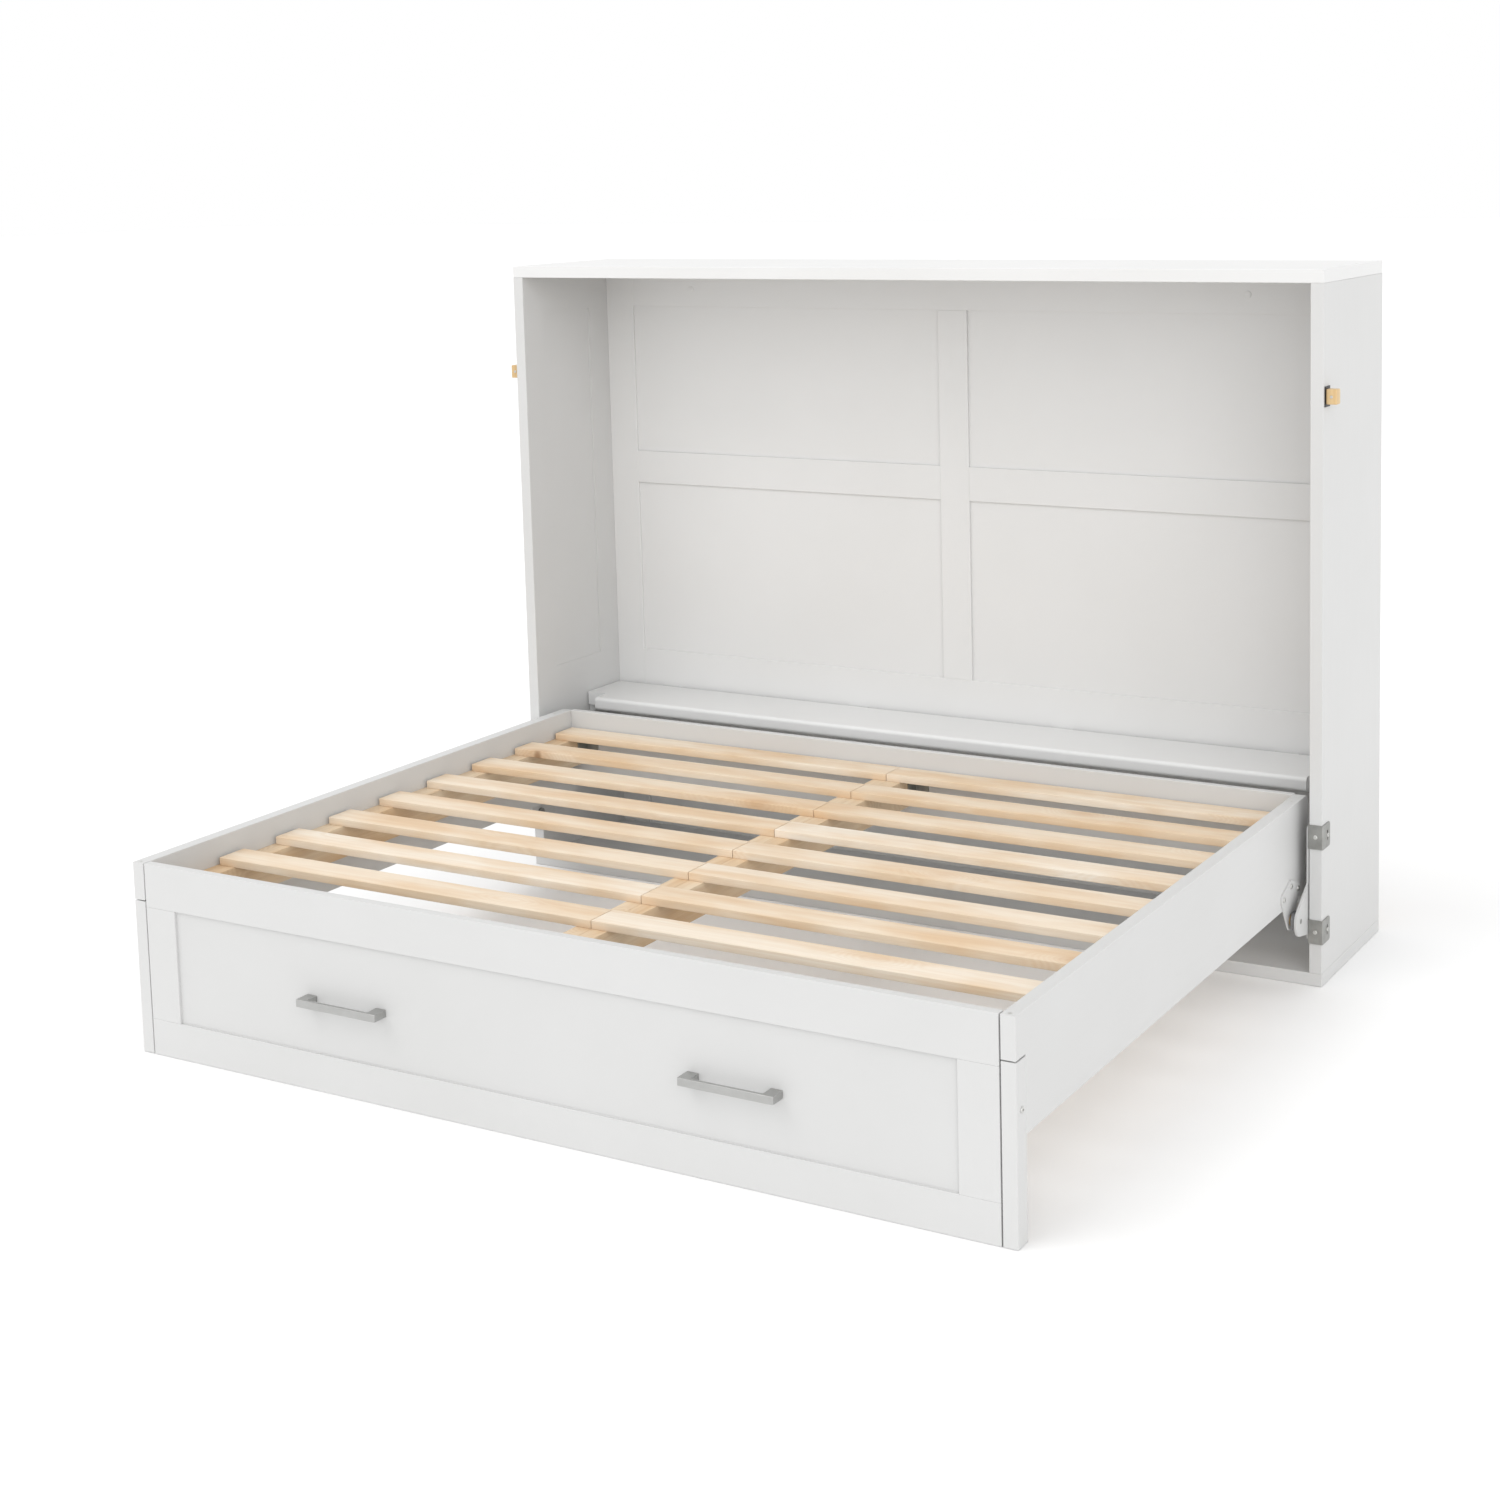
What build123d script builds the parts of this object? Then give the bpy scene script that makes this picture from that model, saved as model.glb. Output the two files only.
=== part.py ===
"""Horizontal wall bed: an open shaker cabinet with a slatted bed frame that tips up into it.

Millimetres, +Z up, X along the wall, +Y into the wall. The origin is under the middle of the
whole bed, on the floor, with the bed down and standing on its two legs.
"""
import os
from build123d import *

# ---- driving dimensions -------------------------------------------------------------------
MATTRESS_LENGTH = 2032  # a queen mattress lies along X
MATTRESS_WIDTH = 1524
BOARD = 30  # cabinet sides, top and bottom, and the bed's side rails
SIDE_PLAY = 30  # between each side rail and the cabinet side, room for the hinge gear
CLOSED_PLAY = 6  # above and below the closed bed
CABINET_DEPTH = 440
REAR_REACH = 80  # how far the lowered frame still stands inside the cabinet
FOOT_BOARD = 20
REAR_RAIL = 18
REAR_RAIL_BOTTOM = 228
RAIL_TOP = 425
RAIL_BOTTOM = 198
RAIL_ROUND = 14  # at the rear top corner
SLAT_TOP = 380
SLAT = (76, 18)  # width, thickness
SLAT_ROWS = 8
SLAT_PITCH = 178
EASE = 1.5  # rounding of every painted board
STRIP_EASE = 1  # rounding of the thin strips and the square-sawn timber

# ---- sizes worked out from them -----------------------------------------------------------
RAIL_INNER = MATTRESS_LENGTH / 2 + 6
RAIL_OUTER = RAIL_INNER + BOARD
CAVITY = RAIL_OUTER + SIDE_PLAY
HALF_WIDTH = CAVITY + BOARD
FRAME_LENGTH = REAR_RAIL + MATTRESS_WIDTH + FOOT_BOARD
HEIGHT = FRAME_LENGTH + 2 * (BOARD + CLOSED_PLAY)
HANDLE_REACH = 30
FOOT_REACH = FRAME_LENGTH - REAR_REACH
FRONT = (FOOT_REACH + HANDLE_REACH - CABINET_DEPTH) / 2  # the cabinet's front plane
FOOT = FRONT - FOOT_REACH  # the foot board's face
REAR_END = FRONT + REAR_REACH
TOP_UNDER = HEIGHT - BOARD

# the closed bed stands this far out of the cabinet, so that the pulls pass its top board
PROUD = 215
PIVOT_SUM = BOARD + CLOSED_PLAY + REAR_REACH
PIVOT = (FRONT + (PIVOT_SUM - PROUD) / 2, (PIVOT_SUM + PROUD) / 2)  # y, z

BACK_FACE = FRONT + 380
STRIP = 6  # thickness of the applied shaker strips
BACK_SHEET = 12
OUTER_STILE = 88
SIDE_FIELD_DROP = 2.5
CENTRE_STILE = 84
BACK_TOP_RAIL = 98
BACK_MIDDLE_RAIL = (1012, 1101)
BACK_BOTTOM_RAIL = (380, 538)
NAILER = 100

LEDGE = 36
LEDGE_TOP = 438
LEDGE_SHOULDER = FRONT + RAIL_TOP - PROUD + 12  # just behind the rails of the closed bed
LEDGE_FRONT = FRONT + SLAT_TOP - PROUD + 4  # just behind its slats
LEDGE_PLAY = 4  # at both ends of the ledge
LEDGE_NOSE = 10  # rounding of its front edge
KNUCKLE = 3.5
LEAF = 2
LEDGE_PIN = 1.5
LEDGE_AXIS = (BACK_FACE - LEAF - KNUCKLE + 1, LEDGE_TOP - 3)
LEDGE_HINGES = (-900, -300, 300, 900)
HINGE_WIDTH = 60
RUN_FIT = 0.05
CLEAT = (18, 130, 20)  # width, length, height

BRACKET_STEEL = 2.5
BRACKET_HEIGHT = 56
BRACKET_CORNER = 7
BRACKET_SLOT = (24, 7)
UPPER_BRACKET = 350
LOWER_BRACKET = 128
OUTER_FLANGE = 50
INNER_FLANGE = 30
PLATE = 5
PLATE_LOBE = 34
PIVOT_LUG = 23
MOVING_PLATE = 4
PIN = 6
PIN_HEAD = (12, 6)
BUSH = 9
BUSH_FLANGE = (13, 2)
SPRING = (23, 15, 14)  # outer radius, inner radius, length

LEG = 40
LEG_SEAM = 343
LEG_GAP = 3
LEG_BOLT = 250
LEDGER = (50, 75)
BATTEN = (38, 72)
BATTEN_PLAY = 0.3
ANGLE = (38, 42, 50, 12)  # the beam angles: two legs, height, drop below the slats
SHAKER_FRAME = (96, 80, 82)  # foot board: top rail, bottom rail, stiles
FIELD_DROP = 6
FOOT_PLAY = 3  # between the foot board and each side rail
HANDLE = (210, 16, 26, 8)  # length, height, foot width, bar thickness
HANDLE_AT = 470
HANDLE_Z = 196

made = {}


def keep(piece, label):
    """Name a finished piece and hold it for export."""
    piece.part.label = label
    made[label] = piece.part


def ease(piece, radius):
    """Round every edge of a plain board."""
    if radius:
        fillet(piece.edges(), radius)


def slab(label, x, y, z, radius=EASE, cuts=()):
    """A straight board that fills the given spans, less whatever is let into it."""
    with BuildPart() as piece:
        with BuildSketch(Plane.XY.offset(z[0])):
            with Locations(((x[0] + x[1]) / 2, (y[0] + y[1]) / 2)):
                Rectangle(x[1] - x[0], y[1] - y[0])
        extrude(amount=z[1] - z[0])
        ease(piece, radius)
        for cut in cuts:
            add(cut, mode=Mode.SUBTRACT)
    keep(piece, label)


def screw(at, out, head, shank, play=0.0):
    """One screw: head (radius, height) standing along out from the point at, and its shank."""
    with BuildPart() as piece:
        with BuildSketch(Plane(origin=at, z_dir=out)):
            Circle(head[0] + play)
        extrude(amount=head[1] + play)
        with BuildSketch(Plane(origin=at, z_dir=out)):
            Circle(shank[0] + play)
        extrude(amount=-shank[1] - play)
    return piece.part


def group(label, solids):
    """Several like pieces that share one node."""
    with BuildPart() as piece:
        for solid in solids:
            add(solid)
    keep(piece, label)


def side_span(side, inner, outer):
    """The X span between two distances from the middle, on the left (-1) or right (1)."""
    return (inner, outer) if side > 0 else (-outer, -inner)


SIDES = {"left": -1, "right": 1}

# ---- screws, made first because the boards are drilled for them -----------------------------
CSK = (4, 2)
CSK_SHANK = (2.2, 45)
PAN = (5, 2.4)
PAN_SHANK = (2.2, 18)
TOP_SCREW_Y = [FRONT + offset for offset in (30, 155, 285, 410)]
TOP_SCREWS = [(side * (HALF_WIDTH - BOARD / 2), y, HEIGHT - CSK[1]) for side in (-1, 1) for y in TOP_SCREW_Y]
NAILER_SCREWS = [(x, FRONT + CABINET_DEPTH - 21, HEIGHT - CSK[1]) for x in (-540, 0, 540)]
FLANGE_SCREW_Y = FRONT + 32
FLANGE_SCREWS = [
    ((side * (HALF_WIDTH + BRACKET_STEEL), FLANGE_SCREW_Y, z), (side, 0, 0))
    for side in (-1, 1)
    for z in (UPPER_BRACKET, LOWER_BRACKET)
]
WEB_SCREWS = [
    ((side * (HALF_WIDTH - BOARD / 2), FRONT - BRACKET_STEEL, z), (0, -1, 0))
    for side in (-1, 1)
    for z in (UPPER_BRACKET, LOWER_BRACKET)
]
BLOCK = (25, 25, 34)
BLOCK_Z = 1352
BLOCK_PLATE = (2, 34, 46)
BLOCK_FRONT = FRONT + 12
BLOCK_SCREWS = [
    ((side * (HALF_WIDTH + BLOCK_PLATE[0] + BLOCK[0] / 2), BLOCK_FRONT, BLOCK_Z), (0, -1, 0))
    for side in (-1, 1)
]


def cabinet_screws(play=0.0):
    """Every cabinet screw, or with play the holes that they need."""
    flush = [screw(at, (0, 0, 1), CSK, CSK_SHANK, play) for at in TOP_SCREWS + NAILER_SCREWS]
    proud = [screw(at, out, PAN, PAN_SHANK, play) for at, out in FLANGE_SCREWS + WEB_SCREWS]
    return flush + proud + [screw(at, out, (3.5, 1.6), (1.8, 18), play) for at, out in BLOCK_SCREWS]


RAIL_SCREWS = [
    (side * (RAIL_OUTER - BOARD / 2), y, RAIL_TOP - CSK[1])
    for side in (-1, 1)
    for y in (FOOT + 10, REAR_END - REAR_RAIL / 2 - 62)
]
PLATE_BOLT_AT = ((-48, 28), (0, 46), (48, 28))  # from the pivot, and up from the rail's edge
PLATE_BOLTS = [
    ((side * (RAIL_OUTER + MOVING_PLATE), PIVOT[0] + y, RAIL_BOTTOM + z), (side, 0, 0))
    for side in (-1, 1)
    for y, z in PLATE_BOLT_AT
]
LEG_BOLTS = [((side * RAIL_OUTER, FOOT + LEG / 2, LEG_BOLT), (side, 0, 0)) for side in (-1, 1)]


def bed_screws(play=0.0):
    """Every bed frame screw and bolt, or with play the holes that they need."""
    flush = [screw(at, (0, 0, 1), CSK, (2.2, 40), play) for at in RAIL_SCREWS]
    plates = [screw(at, out, (6, 3), (3, 24), play) for at, out in PLATE_BOLTS]
    return flush + plates + [screw(at, out, (6, 2.5), (3, 26), play) for at, out in LEG_BOLTS]


CABINET_HOLES = cabinet_screws(0.1)
BED_HOLES = bed_screws(0.1)
WALL_BOLT = 4.5
WALL_BOLT_X = 800
WALL_BOLT_Z = (BOARD + NAILER / 2, TOP_UNDER - NAILER / 2)


def wall_bores():
    """Cutters for the four through holes that fix the cabinet to a wall."""
    bores = []
    for x in (-WALL_BOLT_X, WALL_BOLT_X):
        for z in WALL_BOLT_Z:
            with BuildPart() as bore:
                with BuildSketch(Plane(origin=(x, BACK_FACE - 1, z), z_dir=(0, 1, 0))):
                    Circle(WALL_BOLT)
                extrude(amount=CABINET_DEPTH)
            bores.append(bore.part)
    return bores


WALL_BORES = wall_bores()

# ---- cabinet ------------------------------------------------------------------------------
deep = (FRONT, FRONT + CABINET_DEPTH)
field_z = (BACK_BOTTOM_RAIL[1], TOP_UNDER - BACK_TOP_RAIL)


def side_field(side):
    """Cutter for the shallow sunk field on the inside of a side panel."""
    with BuildPart() as field:
        with BuildSketch(Plane(origin=(side * CAVITY, 0, 0), x_dir=(0, 1, 0), z_dir=(1, 0, 0))):
            with Locations(((FRONT + BACK_FACE) / 2, sum(field_z) / 2)):
                Rectangle(BACK_FACE - FRONT - 2 * OUTER_STILE, field_z[1] - field_z[0])
        extrude(amount=side * SIDE_FIELD_DROP)
    return field.part


slab("bottom_board", (-HALF_WIDTH, HALF_WIDTH), deep, (0, BOARD))
slab("top_board", (-HALF_WIDTH, HALF_WIDTH), deep, (TOP_UNDER, HEIGHT), cuts=CABINET_HOLES)
for hand, side in SIDES.items():
    panel_x = side_span(side, CAVITY, HALF_WIDTH)
    slab(f"{hand}_side_panel", panel_x, deep, (BOARD, TOP_UNDER), cuts=[*CABINET_HOLES, side_field(side)])

sheet_y = (BACK_FACE + STRIP, BACK_FACE + STRIP + BACK_SHEET)
strip_y = (BACK_FACE, BACK_FACE + STRIP)
stile_in = CAVITY - OUTER_STILE
half_stile = CENTRE_STILE / 2
slab("back_sheet", (-CAVITY, CAVITY), sheet_y, (BOARD, TOP_UNDER), 0, WALL_BORES)
for hand, side in SIDES.items():
    stile_x = side_span(side, stile_in, CAVITY)
    slab(f"back_{hand}_stile", stile_x, strip_y, (BOARD, TOP_UNDER), STRIP_EASE)
slab("back_centre_stile", (-half_stile, half_stile), strip_y, field_z, STRIP_EASE)
top_rail_z = (field_z[1], TOP_UNDER)
slab("back_top_rail", (-stile_in, stile_in), strip_y, top_rail_z, STRIP_EASE, WALL_BORES)
slab("back_bottom_rail", (-stile_in, stile_in), strip_y, BACK_BOTTOM_RAIL, STRIP_EASE)

with BuildPart() as back_middle_rails:
    with BuildSketch(Plane.XY.offset(BACK_MIDDLE_RAIL[0])):
        with Locations(*[(side * (stile_in + half_stile) / 2, BACK_FACE + STRIP / 2) for side in (-1, 1)]):
            Rectangle(stile_in - half_stile, STRIP)
    extrude(amount=BACK_MIDDLE_RAIL[1] - BACK_MIDDLE_RAIL[0])
    ease(back_middle_rails, STRIP_EASE)
keep(back_middle_rails, "back_middle_rails")

with BuildPart() as wall_nailers:
    nailer_y = (sheet_y[1], FRONT + CABINET_DEPTH)
    for bottom in (BOARD, TOP_UNDER - NAILER):
        with BuildSketch(Plane.XY.offset(bottom)):
            with Locations((0, sum(nailer_y) / 2)):
                Rectangle(2 * CAVITY, nailer_y[1] - nailer_y[0])
        extrude(amount=NAILER)
    for cut in WALL_BORES + CABINET_HOLES:
        add(cut, mode=Mode.SUBTRACT)
keep(wall_nailers, "wall_nailers")

# the steel channels that clasp the front edge of each side panel
def edge_bracket(label, side, middle):
    """A U of folded steel: web across the panel's edge, long outer flange with a screw slot."""
    inner, outer = CAVITY - BRACKET_STEEL, HALF_WIDTH + BRACKET_STEEL
    low = middle - BRACKET_HEIGHT / 2
    with BuildPart() as piece:
        with BuildSketch(Plane.XY.offset(low)):
            with BuildLine():
                Polyline(
                    (side * inner, FRONT + INNER_FLANGE),
                    (side * inner, FRONT - BRACKET_STEEL),
                    (side * outer, FRONT - BRACKET_STEEL),
                    (side * outer, FRONT + OUTER_FLANGE),
                    (side * HALF_WIDTH, FRONT + OUTER_FLANGE),
                    (side * HALF_WIDTH, FRONT),
                    (side * CAVITY, FRONT),
                    (side * CAVITY, FRONT + INNER_FLANGE),
                    close=True,
                )
            make_face()
        extrude(amount=BRACKET_HEIGHT)
        ends = piece.edges().filter_by(Axis.X).group_by(Axis.Y)
        fillet(ends[-1], BRACKET_CORNER)
        fillet(piece.edges().filter_by(Axis.Z).group_by(Axis.Y)[0], BRACKET_STEEL * 0.8)
        with BuildSketch(Plane(origin=(side * HALF_WIDTH, 0, 0), x_dir=(0, 1, 0), z_dir=(1, 0, 0))):
            with Locations((FLANGE_SCREW_Y, middle)):
                SlotOverall(*BRACKET_SLOT, rotation=90)
        extrude(amount=side * BRACKET_STEEL, mode=Mode.SUBTRACT)
        for cut in CABINET_HOLES:
            add(cut, mode=Mode.SUBTRACT)
    keep(piece, label)


for hand, side in SIDES.items():
    edge_bracket(f"upper_{hand}_edge_bracket", side, UPPER_BRACKET)
    edge_bracket(f"lower_{hand}_edge_bracket", side, LOWER_BRACKET)


def hull(*circles):
    """The flat outline stretched round several circles, each (x, y, radius)."""
    return make_hull([edge for x, y, r in circles for edge in CenterArc((x, y), r, 0, 360).edges()])


def hinge_plate(hand, side):
    """The fixed hinge plate: a strip on the two brackets with a lobe out to the pivot."""
    face = side * (CAVITY - BRACKET_STEEL)
    overlap, root, corner = 22, FRONT + 34, 8
    low, high = LOWER_BRACKET - overlap, UPPER_BRACKET + overlap
    roots = [(root, PIVOT[1] + rise, corner) for rise in (84, -44)]
    lobe = hull((*PIVOT, PLATE_LOBE), *roots)
    with BuildPart() as piece:
        with BuildSketch(Plane(origin=(face, 0, 0), x_dir=(0, 1, 0), z_dir=(1, 0, 0))):
            with Locations((FRONT + 24, (low + high) / 2)):
                RectangleRounded(40, high - low, corner)
            add(lobe)
            with Locations(PIVOT):
                Circle(PIN, mode=Mode.SUBTRACT)
        extrude(amount=-side * PLATE)
    keep(piece, f"{hand}_hinge_plate")


def pivot_pin(hand, side):
    """A shouldered pin, pressed in the fixed plate, with a broad head under the side rail."""
    with BuildPart() as piece:
        with BuildSketch(Plane(origin=(side * (CAVITY - BRACKET_STEEL), *PIVOT), z_dir=(-side, 0, 0))):
            Circle(PIN)
        extrude(amount=SIDE_PLAY + 2)
        with BuildSketch(Plane(origin=(side * (RAIL_OUTER - 0.5), *PIVOT), z_dir=(-side, 0, 0))):
            Circle(PIN_HEAD[0])
        extrude(amount=PIN_HEAD[1])
        chamfer(piece.edges().group_by(Axis.X)[0 if side > 0 else -1], 1)
    keep(piece, f"{hand}_pivot_pin")


def lift_spring(hand, side):
    """The room that the counterbalance torsion spring takes round the pin."""
    spring_start = RAIL_OUTER + MOVING_PLATE + BUSH_FLANGE[1] + 2
    with BuildPart() as piece:
        with BuildSketch(Plane(origin=(side * spring_start, *PIVOT), z_dir=(side, 0, 0))):
            Circle(SPRING[0])
            Circle(SPRING[1], mode=Mode.SUBTRACT)
        extrude(amount=SPRING[2])
    keep(piece, f"{hand}_lift_spring")


def side_block(hand, side):
    """The oak block on the outside of the side panel, held by one screw from the front."""
    inner = HALF_WIDTH + BLOCK_PLATE[0]
    span = side_span(side, inner, inner + BLOCK[0])
    z = (BLOCK_Z - BLOCK[2] / 2, BLOCK_Z + BLOCK[2] / 2)
    slab(f"{hand}_side_block", span, (BLOCK_FRONT, BLOCK_FRONT + BLOCK[1]), z, 2, CABINET_HOLES[-2:])


for hand, side in SIDES.items():
    hinge_plate(hand, side)
    pivot_pin(hand, side)
    lift_spring(hand, side)
    side_block(hand, side)

with BuildPart() as side_block_plates:
    with BuildSketch(Plane.XY.offset(BLOCK_Z - BLOCK_PLATE[2] / 2)):
        middle = HALF_WIDTH + BLOCK_PLATE[0] / 2
        with Locations(*[(side * middle, BLOCK_FRONT + BLOCK[1] / 2) for side in (-1, 1)]):
            Rectangle(BLOCK_PLATE[0], BLOCK_PLATE[1])
    extrude(amount=BLOCK_PLATE[2])
keep(side_block_plates, "side_block_plates")

with BuildPart() as ledge_cleats:
    with BuildSketch(Plane.XY.offset(LEDGE_TOP - LEDGE - CLEAT[2])):
        with Locations(*[(side * (CAVITY - CLEAT[0] / 2), BACK_FACE - 85) for side in (-1, 1)]):
            Rectangle(CLEAT[0], CLEAT[1])
    extrude(amount=CLEAT[2])
    fillet(ledge_cleats.edges().filter_by(Axis.Z), 3)
keep(ledge_cleats, "ledge_cleats")
group("cabinet_screws", cabinet_screws())

# ---- folding ledge ------------------------------------------------------------------------
ledge_back = LEDGE_AXIS[0] - KNUCKLE - LEAF
with BuildPart() as ledge_flap:
    with BuildSketch(Plane.XY.offset(LEDGE_TOP - LEDGE)):
        with Locations((0, (LEDGE_SHOULDER + ledge_back) / 2)):
            Rectangle(2 * (CAVITY - LEDGE_PLAY), ledge_back - LEDGE_SHOULDER)
    extrude(amount=LEDGE)
with BuildPart() as ledge_lipping:
    with BuildSketch(Plane.XY.offset(LEDGE_TOP - LEDGE)):
        with Locations((0, (LEDGE_FRONT + LEDGE_SHOULDER) / 2)):
            Rectangle(2 * (RAIL_INNER - LEDGE_PLAY), LEDGE_SHOULDER - LEDGE_FRONT)
    extrude(amount=LEDGE)
    fillet(ledge_lipping.edges().filter_by(Axis.X).group_by(Axis.Y)[0], LEDGE_NOSE)

# The lipping is glued along the flap's front edge, so the two boards touch without merging.
ledge_board = Compound([ledge_flap.part.solid(), ledge_lipping.part.solid()])
ledge_board.label = "ledge_board"
made["ledge_board"] = ledge_board


def knuckle(x, length, leaf_y, leaf_z):
    """A rolled barrel on the hinge line with a flat leaf joined to it."""
    with BuildPart() as piece:
        with BuildSketch(Plane(origin=(x - length / 2, *LEDGE_AXIS), x_dir=(0, 1, 0), z_dir=(1, 0, 0))):
            Circle(KNUCKLE)
            with Locations(((leaf_y[0] + leaf_y[1]) / 2, (leaf_z[0] + leaf_z[1]) / 2)):
                Rectangle(leaf_y[1] - leaf_y[0], leaf_z[1] - leaf_z[0])
            Circle(LEDGE_PIN + RUN_FIT, mode=Mode.SUBTRACT)
        extrude(amount=length)
    return piece.part


back_gap = BACK_FACE - LEDGE_AXIS[0]
outer_length = HINGE_WIDTH / 3 - 0.3
group(
    "ledge_hinge_fixed_leaves",
    [
        knuckle(x + shift, outer_length, (back_gap - LEAF, back_gap), (-30, 1))
        for x in LEDGE_HINGES
        for shift in (-HINGE_WIDTH / 3, HINGE_WIDTH / 3)
    ],
)
group(
    "ledge_hinge_moving_leaves",
    [
        knuckle(x, outer_length, (-KNUCKLE - LEAF, -KNUCKLE + 1), (LEDGE_TOP - LEDGE - LEDGE_AXIS[1], 0))
        for x in LEDGE_HINGES
    ],
)
with BuildPart() as ledge_hinge_pins:
    for x in LEDGE_HINGES:
        with BuildSketch(Plane(origin=(x - HINGE_WIDTH / 2, *LEDGE_AXIS), z_dir=(1, 0, 0))):
            Circle(LEDGE_PIN)
        extrude(amount=HINGE_WIDTH)
keep(ledge_hinge_pins, "ledge_hinge_pins")


# ---- bed frame ----------------------------------------------------------------------------
def side_rail(hand, side):
    """A long rail, notched at the foot for the leg and rounded at its rear top corner."""
    with BuildPart() as piece:
        with BuildSketch(Plane(origin=(side * RAIL_INNER, 0, 0), x_dir=(0, 1, 0), z_dir=(1, 0, 0))):
            with BuildLine():
                Polyline(
                    (FOOT, RAIL_TOP),
                    (FOOT, LEG_SEAM),
                    (FOOT + LEG, LEG_SEAM),
                    (FOOT + LEG, RAIL_BOTTOM),
                    (REAR_END, RAIL_BOTTOM),
                    (REAR_END, RAIL_TOP),
                    close=True,
                )
            face = make_face()
            fillet(face.vertices().group_by(Axis.X)[-1].sort_by(Axis.Y)[-1], RAIL_ROUND)
        extrude(amount=side * BOARD)
        fillet(piece.edges().filter_by(Axis.X, reverse=True), EASE)
        for cut in BED_HOLES:
            add(cut, mode=Mode.SUBTRACT)
    keep(piece, f"{hand}_side_rail")


def pivot_plate(hand, side):
    """The moving hinge plate on the outside of the rail, with a lobe hanging to the pivot."""
    outline = hull((*PIVOT, PIVOT_LUG), *[(PIVOT[0] + y, RAIL_BOTTOM + z, 14) for y, z in PLATE_BOLT_AT])
    with BuildPart() as piece:
        with BuildSketch(Plane(origin=(side * RAIL_OUTER, 0, 0), x_dir=(0, 1, 0), z_dir=(1, 0, 0))):
            add(outline)
            with Locations(PIVOT):
                Circle(BUSH, mode=Mode.SUBTRACT)
        extrude(amount=side * MOVING_PLATE)
        for cut in BED_HOLES:
            add(cut, mode=Mode.SUBTRACT)
    keep(piece, f"{hand}_pivot_plate")


def bush(side):
    """A flanged bearing bush in the moving plate."""
    with BuildPart() as piece:
        with BuildSketch(Plane(origin=(side * RAIL_OUTER, *PIVOT), z_dir=(side, 0, 0))):
            Circle(BUSH)
            Circle(PIN + RUN_FIT, mode=Mode.SUBTRACT)
        extrude(amount=MOVING_PLATE)
        with BuildSketch(Plane(origin=(side * (RAIL_OUTER + MOVING_PLATE), *PIVOT), z_dir=(side, 0, 0))):
            Circle(BUSH_FLANGE[0])
            Circle(PIN + RUN_FIT, mode=Mode.SUBTRACT)
        extrude(amount=BUSH_FLANGE[1])
    return piece.part


for hand, side in SIDES.items():
    side_rail(hand, side)
    pivot_plate(hand, side)
    rail_x = side_span(side, RAIL_INNER, RAIL_OUTER)
    slab(f"{hand}_leg", rail_x, (FOOT, FOOT + LEG), (0, LEG_SEAM - LEG_GAP), EASE, BED_HOLES[-2:])
group("pivot_bushes", [bush(-1), bush(1)])
rear_z = (REAR_RAIL_BOTTOM, RAIL_TOP)
slab("rear_rail", (-RAIL_INNER, RAIL_INNER), (REAR_END - REAR_RAIL, REAR_END), rear_z)

top_rail, bottom_rail, stile = SHAKER_FRAME
half_foot = RAIL_INNER - FOOT_PLAY
foot_y = (FOOT, FOOT + FOOT_BOARD)
slab("foot_top_rail", (-half_foot, half_foot), foot_y, (RAIL_TOP - top_rail, RAIL_TOP), STRIP_EASE)
slab("foot_bottom_rail", (-half_foot, half_foot), foot_y, (0, bottom_rail), STRIP_EASE)
for hand, side in SIDES.items():
    slab(
        f"foot_{hand}_stile",
        side_span(side, half_foot - stile, half_foot),
        foot_y,
        (bottom_rail, RAIL_TOP - top_rail),
        STRIP_EASE,
    )
field_x = half_foot - stile
slab(
    "foot_field",
    (-field_x, field_x),
    (FOOT + FIELD_DROP, FOOT + FOOT_BOARD - 4),
    (bottom_rail, RAIL_TOP - top_rail),
    0,
)


def bar_pull(hand, side):
    """A bridge pull: two square feet and a straight flat bar, cast in one."""
    length, height, foot, bar = HANDLE
    face, reach = FOOT + FIELD_DROP, HANDLE_REACH + FIELD_DROP
    with BuildPart() as piece:
        with BuildSketch(Plane.XY.offset(HANDLE_Z - height / 2)):
            with BuildLine():
                half, inner = length / 2, length / 2 - foot
                centre = side * HANDLE_AT
                Polyline(
                    (centre - half, face),
                    (centre - half, face - reach),
                    (centre + half, face - reach),
                    (centre + half, face),
                    (centre + inner, face),
                    (centre + inner, face - reach + bar),
                    (centre - inner, face - reach + bar),
                    (centre - inner, face),
                    close=True,
                )
            outline = make_face()
            fillet(outline.vertices().group_by(Axis.Y)[0], 2.5)
            fillet(outline.vertices().group_by(Axis.Y)[1], 4)
        extrude(amount=height)
        fillet(piece.faces().sort_by(Axis.Y)[0].edges(), 1)
    keep(piece, f"{hand}_handle")


for hand, side in SIDES.items():
    bar_pull(hand, side)

frame_y = (FOOT + FOOT_BOARD + 1, REAR_END - REAR_RAIL - 1)
slat_under = SLAT_TOP - SLAT[1]
for hand, side in SIDES.items():
    slab(
        f"{hand}_ledger",
        side_span(side, RAIL_INNER - LEDGER[0], RAIL_INNER),
        frame_y,
        (slat_under - LEDGER[1], slat_under),
        STRIP_EASE,
    )
    slab(
        f"{hand}_centre_batten",
        side_span(side, BATTEN_PLAY, BATTEN_PLAY + BATTEN[0]),
        frame_y,
        (slat_under - BATTEN[1], slat_under),
        STRIP_EASE,
    )


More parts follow.
